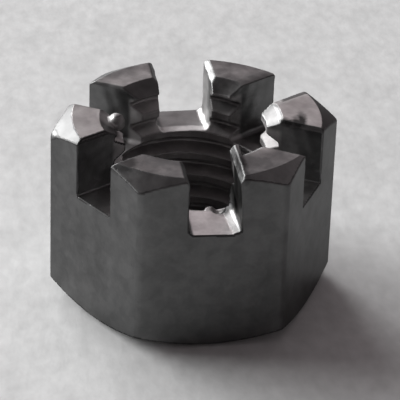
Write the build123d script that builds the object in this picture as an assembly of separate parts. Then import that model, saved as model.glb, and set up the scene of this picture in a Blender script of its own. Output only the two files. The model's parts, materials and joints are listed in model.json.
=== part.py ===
from build123d import *
import math
import os

# A slotted hexagon nut, turned from one piece of drawn bar, in millimetres.
# +Z is the thread axis and points out of the slotted end. The origin is the centre of the
# flat face that the nut rests on, and +X points at one of the upright corners.

# Hexagon bar
side_count = 6
across_flats = 19.05
corner_radius = 0.6  # round on the upright corners
nut_height = 14.5

# Turned ends: a flat ring with a cone around it at either end
chamfer_angle = 30.0  # slope of both cones, from the plane of the end face
top_face_diameter = 18.8
bottom_face_diameter = 18.0

# Threaded hole, at the minor diameter of the thread
bore_diameter = 10.8
countersink_diameter = 14.0
countersink_angle = 120.0  # included, at either end

# Slots for the split pin, one in the middle of each flat
slot_width = 4.0
slot_depth = 4.6
slot_floor_radius = 0.55
slot_edge_bevel = 0.35  # broken edge along the top of both walls

corner_reach = across_flats / 2 / math.cos(math.pi / side_count)
slot_pair_count = side_count // 2


def bar_blank():
    """The length of hexagon bar, with its upright corners rounded."""
    outline = RegularPolygon(across_flats / 2, side_count, major_radius=False)
    outline = fillet(outline.vertices(), corner_radius)
    return extrude(outline, nut_height)


def turned_envelope():
    """The solid of revolution inside both end cones, which cut the corners of the bar."""
    slope = math.tan(math.radians(chamfer_angle))
    top_radius = top_face_diameter / 2
    bottom_radius = bottom_face_diameter / 2
    profile = Polyline(
        (0, 0),
        (bottom_radius, 0),
        (corner_reach, (corner_reach - bottom_radius) * slope),
        (corner_reach, nut_height - (corner_reach - top_radius) * slope),
        (top_radius, nut_height),
        (0, nut_height),
        close=True,
    )
    return revolve(Plane.XZ * make_face(profile), Axis.Z)


def threaded_hole():
    """The bore and the countersink at either end of it."""
    bore_radius = bore_diameter / 2
    mouth_radius = countersink_diameter / 2
    mouth_depth = (mouth_radius - bore_radius) / math.tan(math.radians(countersink_angle / 2))
    profile = Polyline(
        (0, 0),
        (mouth_radius, 0),
        (bore_radius, mouth_depth),
        (bore_radius, nut_height - mouth_depth),
        (mouth_radius, nut_height),
        (0, nut_height),
        close=True,
    )
    return revolve(Plane.XZ * make_face(profile), Axis.Z)


def slot_pair():
    """One milled cut straight across the nut, which leaves a slot in two opposite flats."""
    half_width = slot_width / 2
    floor = nut_height - slot_depth
    bevel_foot = nut_height - slot_edge_bevel
    profile = Polyline(
        (-half_width, floor),
        (half_width, floor),
        (half_width, bevel_foot),
        (half_width + slot_edge_bevel, nut_height),
        (-half_width - slot_edge_bevel, nut_height),
        (-half_width, bevel_foot),
        close=True,
    )
    section = make_face(profile)
    section = fillet(section.vertices().sort_by(Axis.Y)[:2], slot_floor_radius)
    return extrude(Plane.XZ * section, corner_reach, both=True)


def castle_nut():
    body = (bar_blank() & turned_envelope()) - threaded_hole()
    for turn in range(slot_pair_count):
        body -= slot_pair().rotate(Axis.Z, turn * 360 / side_count)
    return body


os.makedirs("parts", exist_ok=True)
export_step(castle_nut(), "parts/castle_nut.step")
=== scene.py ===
import json
import math

import bmesh
import bpy
import numpy as np
from mathutils import Matrix, Vector


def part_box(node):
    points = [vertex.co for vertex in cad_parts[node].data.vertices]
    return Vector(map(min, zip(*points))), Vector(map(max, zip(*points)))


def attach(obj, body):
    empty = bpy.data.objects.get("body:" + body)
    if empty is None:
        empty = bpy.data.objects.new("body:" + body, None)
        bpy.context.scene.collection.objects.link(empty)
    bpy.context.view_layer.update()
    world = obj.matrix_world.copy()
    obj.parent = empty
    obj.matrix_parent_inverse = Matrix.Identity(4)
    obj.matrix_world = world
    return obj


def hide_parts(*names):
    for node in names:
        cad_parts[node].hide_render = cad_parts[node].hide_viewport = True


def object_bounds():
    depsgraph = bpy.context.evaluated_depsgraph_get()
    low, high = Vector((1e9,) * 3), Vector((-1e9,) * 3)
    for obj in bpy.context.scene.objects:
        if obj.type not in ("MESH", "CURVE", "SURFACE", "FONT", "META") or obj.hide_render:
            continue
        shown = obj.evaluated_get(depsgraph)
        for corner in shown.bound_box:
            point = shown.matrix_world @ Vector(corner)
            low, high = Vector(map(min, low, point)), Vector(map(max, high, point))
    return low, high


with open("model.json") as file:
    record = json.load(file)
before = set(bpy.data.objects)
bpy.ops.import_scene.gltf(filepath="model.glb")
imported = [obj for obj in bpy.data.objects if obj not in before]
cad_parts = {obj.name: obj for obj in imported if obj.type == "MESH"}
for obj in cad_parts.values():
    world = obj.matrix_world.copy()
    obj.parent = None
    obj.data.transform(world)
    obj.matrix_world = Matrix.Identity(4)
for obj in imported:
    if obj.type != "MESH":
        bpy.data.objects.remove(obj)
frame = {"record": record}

cadLow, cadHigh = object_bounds()
mounts = {mount["name"]: mount for mount in frame["record"]["mounts"]}
boreRadius = mounts["thread"]["dims"]["r_mm"]
nutLow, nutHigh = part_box("castle_nut")
acrossFlats = 1000 * (nutHigh[1] - nutLow[1])  # millimetres, as are the nut's other sizes
height = 1000 * (nutHigh[2] - nutLow[2])

# Millimetres, degrees
nut = {
    "cornerRound": 0.6,  # of the hexagon's upright corners
    "edgeRound": 0.1,
    "edgeWear": 0.08,  # how much wider the round is where the edge is worn
    "waveLength": 1.5,  # of the uneven wear
    "waveSeed": 4,
    "chamferAngle": 30,
    "chamferShift": 0.13,  # of the top cone, towards +X
    "topFace": 18.8,
    "bottomFace": 18.0,
    "mouth": 13.8,
    "mouthAngle": 120,
    "mouthShift": -0.3,  # of the top countersink
    "threadMajor": 12.7,
    "threadPitch": 1.954,
    "threadFlank": 30,
    "threadRound": 0.09,
    "threadStart": 0.4,  # turns
    "slotEdge": 0.08,
    "slotWander": 0.04,
    # Middle, radius, facing, and how far out it is flattened on that side
    "burrs": [
        ((-5.83, 0.95, 13.83), 0.66, (-0.63, -0.15, 0.76), 0.62),
        ((0.4, -6.2, 9.8), 0.5, (0, 0, 1), 0.45),
    ],
    "burrWander": 0.12,
    "burrEdge": 0.15,
    "burrRoot": 0.12,
    "lips": [((1.8, -7.6, 13.5), (2.55, -4.5, 14.5))],  # lowest and highest corner
    "lipEdge": 0.08,
    # Middle and radius of the ball that each dent is cut with
    "nicks": [((-14.84, -0.49, 16.42), 5.0), ((0.9, -6.35, 10.3), 0.55), ((-3.6, 9.4, 15.2), 0.95)],
    "meshStep": 0.14,
    "settling": 4,  # rounds that bring the mesh on to the surface
    "flatness": 0.002,  # the most that the normals of a flat face differ
    "flatAngle": 0.1,  # between faces that are merged
    "sharpest": 12,  # bend of an edge, at most
}
# Millimetres, degrees; a fillet for the clockwise wall and one for the other
slot = {
    "width": 4.0,
    "depth": 4.6,
    "shift": 0.0,
    "tilt": 0.0,
    "fall": 0.0,  # towards the outside, for each millimetre
    "fillets": (0.4, 0.4),
    "flare": 0.0,  # growth of the second fillet inwards, for each millimetre
    "closing": 0.0,  # of the second wall upwards, for each millimetre
    "ramp": 0.0,  # width of the slope before the second wall
    "rampAngle": 24,
    "rampGrowth": 0.13,  # inwards, for each millimetre
    "rampRound": 0.3,
    "bevel": 0.35,
    "lean": 1.0,  # depth of the bevel over its width
}
# Each slot was milled by itself, a little off its place
slots = [
    {"angle": 270, "shift": 0.2, "depth": 4.75, "tilt": 2.0, "fall": 0.1, "fillets": (0.5, 0.25),
     "flare": 0.13, "closing": 0.07, "ramp": 0.68, "bevel": 0.5, "lean": 1.45},
    {"angle": 330, "fillets": (0.1, 0.1), "bevel": 0.25},
    {"angle": 30, "shift": 0.2, "width": 3.45, "bevel": 0.12, "lean": 0.24},
    {"angle": 90, "shift": -0.1, "width": 4.05, "fall": 0.1, "fillets": (0.55, 0.55)},
    {"angle": 150, "shift": -0.15, "width": 3.7, "bevel": 0.15},
    {"angle": 210, "tilt": -1.0, "fillets": (0.12, 0.12), "bevel": 0.2},
]


def wander(x, y, z, size, seed, waves=5):
    # Slow random waves between -1 and 1, with a wavelength of about size
    dice = np.random.default_rng(seed)
    total = 0
    for wave in range(waves):
        way = dice.normal(size=3)
        way *= 2 * math.pi / (size * dice.uniform(0.6, 1.5) * np.linalg.norm(way))
        start = dice.uniform(0, 6.3)
        total = total + np.sin(float(way[0]) * x + float(way[1]) * y + float(way[2]) * z + start)
    return total / waves


def meet(a, b, radius, angle=90):
    # What two shapes have in common, with a round edge between them; angle is how far the surface turns there
    cosine = math.cos(math.radians(angle))
    sine = math.sin(math.radians(angle))
    a = a + radius
    b = b + radius
    pastA = (a - b * cosine) / sine
    pastB = (b - a * cosine) / sine
    corner = (pastA > 0) & (pastB > 0)
    return np.where(corner, np.hypot(a, pastB), np.maximum(a, b)) - radius


def join(a, b, radius, angle=90):
    # Both shapes together, with a fillet between them
    return -meet(-a, -b, radius, angle)


def hexagonBar(x, y):
    bar = None
    for side in (30, 90, 150):
        angle = math.radians(side)
        flat = np.abs(x * math.cos(angle) + y * math.sin(angle)) - acrossFlats / 2
        bar = flat if bar is None else meet(bar, flat, nut["cornerRound"], 60)
    return bar


def turnedEnd(r, depth, face, edge):
    # A flat face with a cone around it, depth being the distance below the face
    slope = math.radians(nut["chamferAngle"])
    cone = (r - face / 2) * math.sin(slope) - depth * math.cos(slope)
    return meet(cone, -depth, edge, nut["chamferAngle"])


def mouth(r, depth):
    half = math.radians(nut["mouthAngle"] / 2)
    return (r - nut["mouth"] / 2) * math.cos(half) + depth * math.sin(half)


def threadedHole(x, y, z, r):
    # The bore and the right-handed groove around it, whose bottom is flat for an eighth of the pitch
    major = nut["threadMajor"] / 2
    pitch = nut["threadPitch"]
    turns = z / pitch - np.arctan2(y, x) / (2 * math.pi) - nut["threadStart"]
    away = np.abs(turns - np.round(turns)) * pitch
    flank = math.radians(nut["threadFlank"])
    groove = (away - pitch / 16) * math.cos(flank) - (major - r) * math.sin(flank)
    groove = meet(groove, r - major, nut["threadRound"], 90 - nut["threadFlank"])
    return join(groove, r - boreRadius, nut["threadRound"], 90 - nut["threadFlank"])


def slotCut(x, y, z, uneven, own):
    cut = {**slot, **own}
    angle = math.radians(cut["angle"])
    along = x * math.cos(angle) + y * math.sin(angle)
    across = y * math.cos(angle) - x * math.sin(angle) - cut["shift"]
    fromFlat = acrossFlats / 2 - along
    inward = np.maximum(fromFlat, 0)
    wall = np.abs(across + nut["slotWander"] * uneven) - cut["width"] / 2
    wall = wall + np.where(across > 0, cut["closing"] * (z - height + cut["depth"]), 0)
    floor = height - cut["depth"] - z - across * math.tan(math.radians(cut["tilt"]))
    floor = floor + cut["fall"] * fromFlat
    if cut["ramp"]:
        rise = math.radians(cut["rampAngle"])
        ramp = (across - cut["width"] / 2 + cut["ramp"] + cut["rampGrowth"] * inward) * math.sin(rise)
        floor = meet(floor, ramp + floor * math.cos(rise), cut["rampRound"], cut["rampAngle"])
    widened = cut["fillets"][1] + cut["flare"] * inward
    channel = meet(wall, floor, np.where(across < 0, cut["fillets"][0], widened))
    bevel = (wall * cut["lean"] + height - z - cut["bevel"]) / math.hypot(cut["lean"], 1)
    return np.maximum(join(channel, bevel, nut["slotEdge"], 45), -along)


def ball(x, y, z, middle, radius):
    return np.sqrt((x - middle[0]) ** 2 + (y - middle[1]) ** 2 + (z - middle[2]) ** 2) - radius


def burr(x, y, z, uneven, middle, radius, facing, reach):
    face = (x - middle[0]) * facing[0] + (y - middle[1]) * facing[1] + (z - middle[2]) * facing[2] - reach
    return meet(ball(x, y, z, middle, radius) + nut["burrWander"] * uneven, face, nut["burrEdge"], 45)


def lip(x, y, z, low, high):
    sides = [np.maximum(low[i] - v, v - high[i]) for i, v in enumerate((x, y, z))]
    return meet(meet(sides[0], sides[1], nut["lipEdge"]), sides[2], nut["lipEdge"])


def nutField(x, y, z):
    # Distance to the surface in millimetres, negative in the steel
    r = np.hypot(x, y)
    uneven = wander(x, y, z, nut["waveLength"], nut["waveSeed"])
    edge = nut["edgeRound"] + nut["edgeWear"] * (0.5 + 0.5 * uneven)
    top = turnedEnd(np.hypot(x - nut["chamferShift"], y), height - z, nut["topFace"], edge)
    bottom = turnedEnd(r, z, nut["bottomFace"], edge)
    body = meet(hexagonBar(x, y), meet(top, bottom, edge), edge, 90 - nut["chamferAngle"])
    mouthTurn = 90 - nut["mouthAngle"] / 2
    body = meet(body, -mouth(np.hypot(x - nut["mouthShift"], y), height - z), edge, mouthTurn)
    body = meet(body, -mouth(r, z), edge, mouthTurn)
    body = meet(body, -threadedHole(x, y, z, r), edge, nut["mouthAngle"] / 2)
    for bead in nut["burrs"]:
        body = join(body, burr(x, y, z, uneven, *bead), nut["burrRoot"])
    for low, high in nut["lips"]:
        body = join(body, lip(x, y, z, low, high), nut["lipEdge"])
    for cut in slots:
        body = meet(body, -slotCut(x, y, z, uneven, cut), nut["slotEdge"])
    for middle, radius in nut["nicks"]:
        body = meet(body, -ball(x, y, z, middle, radius), edge)
    return body


def slopeOf(field, points, reach=0.01):
    slope = np.empty_like(points)
    for axis in range(3):
        shift = np.zeros(3)
        shift[axis] = reach
        slope[:, axis] = (field(*(points + shift).T) - field(*(points - shift).T)) / (2 * reach)
    return slope


def bendOf(field, points, reach=0.1):
    # Above zero where the surface bulges, below zero in a hollow
    bend = -6 * field(*points.T)
    for axis in range(3):
        shift = np.zeros(3)
        shift[axis] = reach
        bend += field(*(points + shift).T) + field(*(points - shift).T)
    return bend / reach ** 2


def cellPoints(value, axes, step):
    # One point in each cell that the surface crosses, and the number of each of those cells
    cells = tuple(n - 1 for n in value.shape)
    total = np.zeros(cells + (3,), np.float32)
    count = np.zeros(cells, np.float32)
    for axis in range(3):
        side, other = [i for i in range(3) if i != axis]
        for u in (0, 1):
            for v in (0, 1):
                start = [0, 0, 0]
                start[side] = u
                start[other] = v
                end = list(start)
                end[axis] = 1
                a = value[tuple(slice(s, s + n) for s, n in zip(start, cells))]
                b = value[tuple(slice(s, s + n) for s, n in zip(end, cells))]
                crossed = (a < 0) != (b < 0)
                total[..., axis] += np.where(crossed, a / np.where(crossed, a - b, 1), 0)
                total[..., side] += u * crossed
                total[..., other] += v * crossed
                count += crossed
    used = count > 0
    number = np.full(cells, -1)
    number[used] = np.arange(used.sum())
    corner = np.stack([axes[i][np.argwhere(used)[:, i]] for i in range(3)], 1)
    points = corner + step * (total[used] / count[used][:, None])
    return points.astype(float), number


def surfaceNet(field, low, high, step):
    # The points of the crossed cells, with a quad around each crossed grid line
    axes = [np.arange(low[i] - 1.5 * step, high[i] + 2.5 * step, step) for i in range(3)]
    value = field(*np.meshgrid(*[axis.astype(np.float32) for axis in axes], indexing="ij"))
    points, number = cellPoints(value, axes, step)
    solid = value < 0
    quads = []
    for axis in range(3):
        a, b = (axis + 1) % 3, (axis + 2) % 3
        before = np.take(solid, range(solid.shape[axis] - 1), axis)
        after = np.take(solid, range(1, solid.shape[axis]), axis)
        spots = np.argwhere(before != after)
        ring = []
        for da, db in ((0, 0), (-1, 0), (-1, -1), (0, -1)):
            spot = spots.copy()
            spot[:, a] += da
            spot[:, b] += db
            ring.append(number[tuple(spot.T)])
        ring = np.stack(ring, 1)
        inward = ~before[tuple(spots.T)]
        ring[inward] = ring[inward][:, ::-1]
        quads.append(ring)
    return points, np.concatenate(quads)


def mergeFlats(mesh, isFlat):
    # Each truly flat stretch becomes one face, so the triangles go to the edges and the thread
    work = bmesh.new()
    work.from_mesh(mesh)
    for face, flat in zip(work.faces, isFlat):
        face.tag = bool(flat)
    inner = [edge for edge in work.edges if all(face.tag for face in edge.link_faces)]
    middle = [vert for vert in work.verts if all(face.tag for face in vert.link_faces)]
    bmesh.ops.dissolve_limit(work, angle_limit=math.radians(nut["flatAngle"]), verts=middle, edges=inner)
    work.to_mesh(mesh)
    work.free()


def makeNut():
    low = [1000 * v for v in nutLow]
    high = [1000 * v for v in nutHigh]
    points, quads = surfaceNet(nutField, low, high, nut["meshStep"])
    for settle in range(nut["settling"]):
        slope = slopeOf(nutField, points)
        steep = np.maximum((slope ** 2).sum(1), 0.01)  # never zero, where the field is level
        points -= slope * (nutField(*points.T) / steep)[:, None]
    points = np.clip(points, low, high)
    slope = slopeOf(nutField, points)
    normals = slope / np.linalg.norm(slope, axis=1)[:, None]
    bend = np.clip(bendOf(nutField, points), -nut["sharpest"], nut["sharpest"])
    spread = np.linalg.norm(normals[quads] - normals[quads[:, :1]], axis=2).max(1)
    isFlat = spread < nut["flatness"]
    bend[quads[isFlat]] = 0
    mesh = bpy.data.meshes.new("dressedNut")
    mesh.from_pydata(points / 1000, [], quads.tolist())
    mesh.attributes.new("bend", "FLOAT", "POINT").data.foreach_set("value", bend)
    mesh.attributes.new("facing", "FLOAT_VECTOR", "POINT").data.foreach_set("vector", normals.ravel())
    mergeFlats(mesh, isFlat)
    facing = np.empty(3 * len(mesh.vertices))
    mesh.attributes["facing"].data.foreach_get("vector", facing)
    mesh.polygons.foreach_set("use_smooth", [True] * len(mesh.polygons))
    mesh.normals_split_custom_set_from_vertices(facing.reshape(-1, 3))
    mesh.attributes.remove(mesh.attributes["facing"])
    piece = bpy.data.objects.new("dressedNut", mesh)
    bpy.context.collection.objects.link(piece)
    print("nut:", len(mesh.vertices), "points,", sum(len(f.vertices) - 2 for f in mesh.polygons), "triangles")
    return piece


class Wire:
    # A shader socket that takes part in Python sums
    def __init__(self, shader, socket):
        self.shader = shader
        self.socket = socket

    def math(self, operation, *values):
        return self.shader.math(operation, *values)

    def __add__(self, other):
        return self.math("ADD", self, other)

    def __sub__(self, other):
        return self.math("SUBTRACT", self, other)

    def __rsub__(self, other):
        return self.math("SUBTRACT", other, self)

    def __mul__(self, other):
        return self.math("MULTIPLY", self, other)

    def __truediv__(self, other):
        return self.math("DIVIDE", self, other)

    def __rtruediv__(self, other):
        return self.math("DIVIDE", other, self)

    def root(self):
        return self.math("SQRT", self)

    def size(self):
        return self.math("ABSOLUTE", self)

    def grey(self):
        # The same value in all three channels
        return self.shader.add("ShaderNodeCombineXYZ", {}, {0: self, 1: self, 2: self})

    __radd__ = __add__
    __rmul__ = __mul__


class Shader:
    def __init__(self, tree):
        self.tree = tree
        tree.nodes.clear()

    def add(self, kind, settings=None, inputs=None, output=0):
        node = self.tree.nodes.new(kind)
        for name, value in (settings or {}).items():
            if name == "stops":
                self.setStops(node.color_ramp, value)
            else:
                setattr(node, name, value)
        for name, value in (inputs or {}).items():
            if isinstance(value, Wire):
                self.tree.links.new(value.socket, node.inputs[name])
            else:
                node.inputs[name].default_value = value
        return Wire(self, node.outputs[output]) if len(node.outputs) else None

    def setStops(self, ramp, stops):
        while len(ramp.elements) < len(stops):
            ramp.elements.new(1)
        for element, (place, level) in zip(ramp.elements, stops):
            element.position = place
            element.color = (level, level, level, 1)

    def math(self, operation, *values):
        return self.add("ShaderNodeMath", {"operation": operation}, dict(enumerate(values)))

    def step(self, value, low, high, toLow=0, toHigh=1):
        inputs = {0: value, 1: low, 2: high, 3: toLow, 4: toHigh}
        return self.add("ShaderNodeMapRange", {"clamp": True}, inputs)

    def mix(self, factor, a, b):
        # Sockets 6 and 7 and output 2 are the ones for colours
        inputs = {0: factor, 6: a, 7: b}
        return self.add("ShaderNodeMix", {"data_type": "RGBA", "clamp_factor": True}, inputs, 2)

    def scaled(self, vector, by):
        return self.add("ShaderNodeVectorMath", {"operation": "MULTIPLY"}, {0: vector, 1: by})

    def millimetres(self):
        # The place on the piece, in millimetres
        return self.scaled(self.add("ShaderNodeTexCoord", {}, {}, "Object"), (1000, 1000, 1000))

    def part(self, vector, axis):
        return self.add("ShaderNodeSeparateXYZ", {}, {0: vector}, axis)

    def noise(self, vector, size, detail=3, roughness=0.5, distortion=0):
        # size is the width of one blotch in millimetres
        inputs = {"Vector": vector, "Scale": 1 / size, "Detail": detail, "Roughness": roughness,
                  "Distortion": distortion}
        return self.add("ShaderNodeTexNoise", {}, inputs)

    def around(self, x, y, levels, turn, blend=0.1):
        # Six levels anticlockwise, blended where they meet, the first one centred on turn degrees
        angle = self.math("ARCTAN2", y, x) / (2 * math.pi)
        share = self.math("FRACT", angle - turn / 360 + (1 + 1 / 12))
        ends = (levels[0] + levels[5]) / 2
        stops = [(0, ends)]
        for n, level in enumerate(levels):
            stops += [((n + blend) / 6, level), ((n + 1 - blend) / 6, level)]
        return self.add("ShaderNodeValToRGB", {"stops": stops + [(1, ends)]}, {0: share})

    def near(self, place, spots, noise, ragged=0.4, outer=1.2, inner=0.55):
        # Each spot is its middle, its reach along x, y and z, and its strength; it fades from inner to outer,
        # as shares of its reach
        inside = 0
        for middle, reach, strength in spots:
            away = self.add("ShaderNodeVectorMath", {"operation": "SUBTRACT"}, {0: place, 1: middle})
            away = self.add("ShaderNodeVectorMath", {"operation": "DIVIDE"}, {0: away, 1: reach})
            away = self.add("ShaderNodeVectorMath", {"operation": "LENGTH"}, {0: away}, "Value")
            inside = inside + self.step(away + (noise - 0.5) * ragged, outer, inner, 0, strength)
        return self.math("MINIMUM", inside, 1)


def newShader(name):
    material = bpy.data.materials.new(name)
    material.use_nodes = True
    return material, Shader(material.node_tree)


# Linear colours; sizes and heights in millimetres
steel = {
    "oxide": (0.148, 0.149, 0.149, 1),
    "paintedShadeColour": (0.03, 0.03, 0.03, 1),
    "worn": (0.309, 0.303, 0.3, 1),
    # Milled steel; also the colour of the painted highlights
    "milled": (0.612, 0.603, 0.6, 1),
    # Painted light: the bore is coloured lighter, standing in for fill light in the hole
    "threadPaintedLight": (0.4, 0.39, 0.39, 1),
    # Painted shade on rounded edges, dimming the highlights they catch
    "edgeShadeTone": (0.06, 0.06, 0.06, 1),
    "grazing": (0.55, 0.55, 0.55, 1),
    "roughness": 0.34,
    "edgeRoughness": 0.12,
    "rimRoughness": 0.2,
    "holeRoughness": 0.2,
    "cloudSize": 4.2,
    "cloudHeight": 0.008,
    "blotchSize": 1.5,
    "blotchHeight": 0.004,
    "speckSize": 0.28,
    "speckHeight": 0.0012,
    "patchSize": 1.1,
    "drawnSize": 0.16,
    "drawnHeight": 0.0022,
    "turnedSize": 0.22,
    "turnedHeight": 0.0025,
    "pitSize": 0.5,
    "pitDepth": 0.008,
    # One level for each tooth, anticlockwise from +X; the chamfer and top levels are painted light and shade
    "toothWear": [1.25, 0.3, 0.45, 1.0, 0.25, 0.3],
    "chamferPaintedLight": [0.45, 1.0, 1.0, 0.62, 1.22, 1.95],
    "topPaintedLight": [1.32, 1.0, 1.0, 1.06, 0.88, 0.9],
    # One level for each slot and flat, anticlockwise from 30 degrees; the wall and flat levels are painted
    # light and shade, the edge levels painted shade on the edges
    "slotWear": [0.5, 0.1, 0.5, 0.3, 1.0, 0.4],
    "wallPaintedLight": [1.0, 1.0, 1.0, 1.25, 1.0, 1.15],
    "flatPaintedLight": [1.0, 1.0, 1.0, 0.95, 0.76, 1.02],
    "edgeShadeShare": [0.2, 0.2, 0.2, 1.0, 0.25, 0.2],
    "rimShade": 0.5,
    "stripEdge": -2.0,  # of the painted shade strip beside the slot at 30 degrees
    "stripShade": 0.75,
    # Middle, reach along x, y and z, strength
    "matt": [((-6.0, 0.9, 14.1), (1.2, 1.2, 1.2), 0.36)],
    # Painted highlights: brighter metal where highlights fall, and a paler stretch low on the left flat
    "paintedHighlights": [
        ((-6.3, 0.85, 14.1), (1.0, 1.0, 0.9), 0.8),
        ((2.0, 8.0, 12.0), (0.6, 2.2, 2.4), 0.9),
        ((2.1, -7.0, 10.4), (0.7, 2.0, 1.2), 0.4),
        ((6.2, 0.3, 14.0), (0.95, 1.4, 0.7), 0.22),
        ((-8.7, -3.9, 0.8), (2.6, 3.2, 3.2), 0.06),
    ],
    # Painted shade: dark spots that dim highlights and darken shaded places on the teeth, walls and slot
    # floors
    "paintedShadeSpots": [
        ((8.05, -0.8, 14.5), (0.35, 0.9, 0.5), 0.5),
        ((7.7, -1.4, 14.5), (0.6, 0.9, 0.5), 0.6),
        ((7.3, -1.9, 14.5), (0.9, 0.7, 0.5), 0.6),
        ((6.6, -1.5, 14.5), (0.5, 0.75, 0.4), 0.8),
        ((2.3, -6.9, 14.2), (0.45, 2.9, 0.6), 1.0),
        ((2.0, -5.2, 11.8), (0.9, 1.1, 2.2), 1.0),
        ((2.05, -6.2, 10.6), (0.4, 1.4, 0.8), 0.9),
        ((1.25, -6.45, 10.2), (0.7, 0.7, 0.6), 1.0),
        ((3.3, 5.6, 12.3), (2.2, 1.7, 2.0), 0.6),
        ((-6.3, -6.5, 14.45), (1.3, 1.5, 0.6), 0.8),
        ((3.0, -4.7, 14.0), (0.8, 0.7, 0.6), 0.8),
        ((5.75, -0.7, 12.4), (1.3, 1.9, 0.9), 0.38),
    ],
}


def fromAxis(shader, x, y):
    # Half the width across flats of the hexagon that goes through the place
    farthest = y.size()
    for side in (30, 150):
        outwards = x * math.cos(math.radians(side)) + y * math.sin(math.radians(side))
        farthest = shader.math("MAXIMUM", farthest, outwards.size())
    return farthest


def steelRelief(shader, place, r, up, cloud, blotch, speck):
    # Lines from drawing the bar, rings from turning its ends, and a few pits
    steep = shader.step(up.size(), 0.5, 0.2)
    drawn = shader.noise(shader.scaled(place, (1, 1, 0.04)), steel["drawnSize"], 2, 0.5)
    turned = shader.noise(r.grey(), steel["turnedSize"], 3, 0.6)
    pits = shader.step(shader.noise(place, steel["pitSize"], 2, 0.5), 0.72, 0.78)
    relief = cloud * steel["cloudHeight"] + blotch * steel["blotchHeight"] + speck * steel["speckHeight"]
    relief = relief + drawn * steep * steel["drawnHeight"]
    relief = relief + turned * (1 - steep) * steel["turnedHeight"] - pits * steel["pitDepth"]
    return shader.add("ShaderNodeBump", {}, {"Strength": 1, "Distance": 0.001, "Height": relief})


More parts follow.
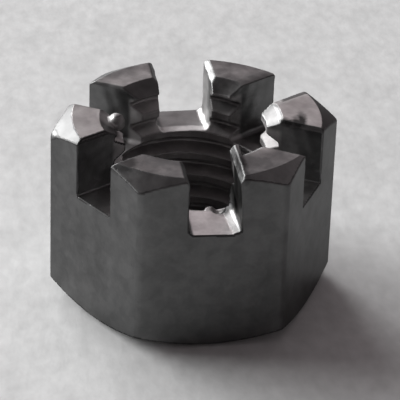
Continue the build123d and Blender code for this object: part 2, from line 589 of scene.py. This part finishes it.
def darkSteel():
    material, shader = newShader("dark steel")
    place = shader.millimetres()
    x = shader.part(place, "X")
    y = shader.part(place, "Y")
    z = shader.part(place, "Z")
    r = (x * x + y * y).root()
    up = shader.part(shader.add("ShaderNodeNewGeometry", {}, {}, "Normal"), "Z")
    bend = shader.add("ShaderNodeAttribute", {"attribute_name": "bend"}, {}, "Fac")
    cloud = shader.noise(place, steel["cloudSize"], 3, 0.6)
    blotch = shader.noise(place, steel["blotchSize"], 3, 0.55)
    speck = shader.noise(place, steel["speckSize"], 3, 0.55)
    patch = shader.noise(place, steel["patchSize"], 1, 0.4, 0.6)

    # Where the finishes and the painted light and shade are, each fading in or out between two heights,
    # widths or slopes
    floorHeight = height - slot["depth"]
    nearTop = shader.step(z, height - 1.2, height - 0.9)
    onTop = shader.step(z, height - 0.3, height - 0.2) * shader.step(up, 0.93, 0.99)
    onChamfer = nearTop * shader.step(up, 0.8, 0.85) * shader.step(up, 0.93, 0.88)
    inHole = shader.step(r, 6.6, 6.3) * shader.step(z, height - 0.7, height - 1)
    onSlotFloor = shader.step(z, floorHeight - 0.5, floorHeight - 0.3)
    onSlotFloor = onSlotFloor * shader.step(z, floorHeight + 0.8, floorHeight + 0.4)
    onSlotFloor = onSlotFloor * shader.step(up, 0.9, 0.98) * (1 - inHole)
    onEdge = shader.step(bend, 1.5, 4)
    onSlotRim = onEdge * shader.step(z, floorHeight + 0.4, floorHeight + 0.2) * shader.step(r, 8.5, 9)
    onWall = shader.step(fromAxis(shader, x, y), acrossFlats / 2 - 0.1, acrossFlats / 2 - 0.3)
    onWall = onWall * shader.step(z, height - 1, height - 0.5, 1, 0) * (1 - inHole)
    upright = shader.step(up.size(), 0.4, 0.2)
    paintedHighlights = shader.near(place, steel["paintedHighlights"], blotch)
    paintedShadeSpots = shader.near(place, steel["paintedShadeSpots"], speck)
    # Painted shade strip beside the slot at 30 degrees
    across = y * math.cos(math.radians(30)) - x * math.sin(math.radians(30))
    strip = shader.step(across + (blotch - 0.5) * 0.2, steel["stripEdge"] - 0.08, steel["stripEdge"])
    strip = nearTop * strip * shader.step(across, -1.2, -1.4) * shader.step(x, 6.9, 7.1)
    toothWear = shader.around(x, y, steel["toothWear"], 0)
    worn = onTop * shader.step(blotch * 0.5 + cloud + toothWear * 0.5, 0.78, 1.15)
    milled = onSlotFloor * shader.around(x, y, steel["slotWear"], 30) * shader.step(blotch, 0.3, 0.6, 0.8, 1)
    edgeShadeShare = shader.around(x, y, steel["edgeShadeShare"], 30)

    # Painted light in the bore
    colour = shader.mix(inHole, steel["oxide"], steel["threadPaintedLight"])
    colour = shader.mix(worn, colour, steel["worn"])
    colour = shader.mix(milled, colour, steel["milled"])
    # Painted highlights, in the milled colour
    colour = shader.mix(paintedHighlights, colour, steel["milled"])
    # Painted shade from the spots and from the strip beside the slot at 30 degrees
    colour = shader.mix(paintedShadeSpots + strip * steel["stripShade"], colour, steel["paintedShadeColour"])
    # Painted shade on rounded edges and slot rims, sector by sector, dimming their highlights
    colour = shader.mix(onEdge * edgeShadeShare + onSlotRim * steel["rimShade"], colour, steel["edgeShadeTone"])
    # Painted light and shade: each tooth's chamfer and top, each slot wall and each flat made lighter or
    # darker by its own level
    paintedLight = 1 + onChamfer * (shader.around(x, y, steel["chamferPaintedLight"], 0) - 1)
    paintedLight = paintedLight + onTop * (shader.around(x, y, steel["topPaintedLight"], 0) - 1)
    paintedLight = paintedLight + onWall * (shader.around(x, y, steel["wallPaintedLight"], 30) - 1)
    paintedLight = paintedLight * (1 + upright * (shader.around(x, y, steel["flatPaintedLight"], 30) - 1))
    mottle = shader.step(cloud, 0.3, 0.7, 0.88, 1.12) * shader.step(blotch, 0.3, 0.7, 0.9, 1.1)
    mottle = mottle * shader.step(patch, 0.4, 0.6, 0.94, 1.06) * shader.step(speck, 0.25, 0.75, 0.94, 1.06)
    colour = shader.scaled(colour, (mottle * paintedLight).grey())
    roughness = steel["roughness"] + onEdge * steel["edgeRoughness"] + onSlotRim * steel["rimRoughness"]
    roughness = roughness + inHole * steel["holeRoughness"] + shader.step(blotch, 0.3, 0.7, -0.05, 0.05)
    roughness = roughness + shader.near(place, steel["matt"], 0.5)

    bump = steelRelief(shader, place, r, up, cloud, blotch, speck)
    inputs = {"Base Color": colour, "Metallic": 1, "Roughness": roughness, "Specular Tint": steel["grazing"],
              "Normal": bump}
    surface = shader.add("ShaderNodeBsdfPrincipled", {}, inputs)
    shader.add("ShaderNodeOutputMaterial", {}, {"Surface": surface})
    print("dark steel: made")
    return material


# Linear colours; sizes in millimetres
paper = {
    "darkFleck": (0.571, 0.58, 0.578, 1),
    "paleFleck": (0.678, 0.688, 0.686, 1),
    "fleck": 0.95,
    "cloud": 3.2,
    "stretch": (1, 0.62, 1),  # longer along Y, so that the flecks look round from the front
    "paintedFalloff": (-22, 24),  # where the painted falloff of light starts and stops
    "paintedFalloffTone": (1.05, 0.94),
    "relief": 0.03,
    "roughness": 0.9,
    "reach": 3000,
}


def paperFinish():
    material, shader = newShader("paper")
    place = shader.millimetres()
    stretched = shader.scaled(place, paper["stretch"])
    grain = shader.noise(stretched, paper["fleck"], 2, 0.5)
    cloud = shader.noise(stretched, paper["cloud"], 2, 0.5)
    pale = shader.step(grain * 0.5 + cloud * 0.5, 0.35, 0.65)
    tint = shader.mix(pale, paper["darkFleck"], paper["paleFleck"])
    # Painted light: the paper is paler towards -X and -Y and darker towards +X and +Y
    towards = shader.part(place, "X") * 0.8 + shader.part(place, "Y") * 0.6
    shade = shader.step(towards, *paper["paintedFalloff"], *paper["paintedFalloffTone"])
    tint = shader.scaled(tint, shade.grey())
    inputs = {"Strength": 1, "Distance": paper["relief"] / 1000, "Height": grain}
    bump = shader.add("ShaderNodeBump", {}, inputs)
    inputs = {"Base Color": tint, "Roughness": paper["roughness"], "Specular IOR Level": 0, "Normal": bump}
    surface = shader.add("ShaderNodeBsdfPrincipled", {}, inputs)
    shader.add("ShaderNodeOutputMaterial", {}, {"Surface": surface})
    return material


def makeFloor():
    mesh = bpy.data.meshes.new("floor")
    half = paper["reach"] / 1000
    corners = [(-half, -half, 0), (half, -half, 0), (half, half, 0), (-half, half, 0)]
    mesh.from_pydata(corners, [], [(0, 1, 2, 3)])
    floor = bpy.data.objects.new("floor", mesh)
    bpy.context.collection.objects.link(floor)
    floor.location.z = cadLow[2]
    mesh.materials.append(paperFinish())
    print("floor: laid")


# Angles in degrees, azimuth from +Y towards -X; sizes in metres
keyLight = {
    "azimuth": 42.5,
    "elevation": 22,
    "distance": 1.0,
    "width": 1.42,
    "height": 0.5,
    "power": 28.6,
}


def makeLight():
    lamp = bpy.data.lights.new("key", "AREA")
    lamp.shape = "RECTANGLE"
    lamp.size = keyLight["width"]
    lamp.size_y = keyLight["height"]
    lamp.energy = keyLight["power"]
    light = bpy.data.objects.new("key", lamp)
    azimuth = math.radians(keyLight["azimuth"])
    elevation = math.radians(keyLight["elevation"])
    way = Vector((-math.sin(azimuth) * math.cos(elevation), math.cos(azimuth) * math.cos(elevation),
                  math.sin(elevation)))
    light.location = way * keyLight["distance"]
    light.rotation_euler = way.to_track_quat("Z", "Y").to_euler()
    light.visible_camera = False
    bpy.context.collection.objects.link(light)
    print("light: set")


# Brightness, with a paler wall behind the nut; rises go from 0 at the horizon to 1 overhead
room = {
    "horizon": 0.36,
    "zenith": 0.11,
    "rise": (0.08, 0.4),
    "glow": 0.52,
    "glowWay": (0.1, 0.88, 0.46),
    "glowEdge": (0.75, 0.97),
    "glowRise": (0.05, 0.25),
    "tint": (1.11, 0.975, 1.005),
}


def makeRoom():
    world = bpy.data.worlds.new("room")
    world.use_nodes = True
    bpy.context.scene.world = world
    shader = Shader(world.node_tree)
    way = shader.add("ShaderNodeTexCoord", {}, {}, "Generated")
    rise = shader.part(way, "Z")
    inputs = {0: way, 1: room["glowWay"]}
    towards = shader.add("ShaderNodeVectorMath", {"operation": "DOT_PRODUCT"}, inputs, "Value")
    glow = shader.step(towards, *room["glowEdge"]) * shader.step(rise, *room["glowRise"])
    colour = shader.step(rise, *room["rise"], room["horizon"], room["zenith"]) + glow * room["glow"]
    colour = shader.scaled(colour.grey(), room["tint"])
    surface = shader.add("ShaderNodeBackground", {}, {"Color": colour, "Strength": 1})
    shader.add("ShaderNodeOutputWorld", {}, {"Surface": surface})
    print("room: lit")


# Millimetres, degrees; azimuth from -Y towards -X
camera = {
    "azimuth": 9.66,
    "elevation": 30.22,
    "roll": 1.95,
    "distance": 201.4,
    "lens": 236.9,
    "aside": 0.58,  # from the nut's middle to the aim
    "above": -0.01,
}


def makeCamera():
    azimuth = math.radians(camera["azimuth"])
    elevation = math.radians(camera["elevation"])
    roll = math.radians(camera["roll"])
    back = Vector((-math.sin(azimuth) * math.cos(elevation), -math.cos(azimuth) * math.cos(elevation),
                   math.sin(elevation)))
    level = Vector((math.cos(azimuth), -math.sin(azimuth), 0))
    upright = back.cross(level)
    right = level * math.cos(roll) + upright * math.sin(roll)
    up = upright * math.cos(roll) - level * math.sin(roll)
    middle = Vector((0, 0, cadLow[2] + height / 2000))
    place = middle + back * camera["distance"] / 1000
    aim = middle + (right * camera["aside"] + up * camera["above"]) / 1000
    back = (place - aim).normalized()
    right = up.cross(back).normalized()
    up = back.cross(right)
    lens = bpy.data.cameras.new("camera")
    lens.lens = camera["lens"]
    lens.clip_start = 0.01
    eye = bpy.data.objects.new("camera", lens)
    eye.matrix_world = Matrix.Translation(place) @ Matrix((right, up, back)).transposed().to_4x4()
    bpy.context.collection.objects.link(eye)
    bpy.context.scene.camera = eye
    print("camera: set")


piece = makeNut()
piece.data.materials.append(darkSteel())
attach(piece, "root")
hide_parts("castle_nut")
makeFloor()
makeLight()
makeRoom()
makeCamera()
bpy.context.scene.view_settings.view_transform = "Standard"
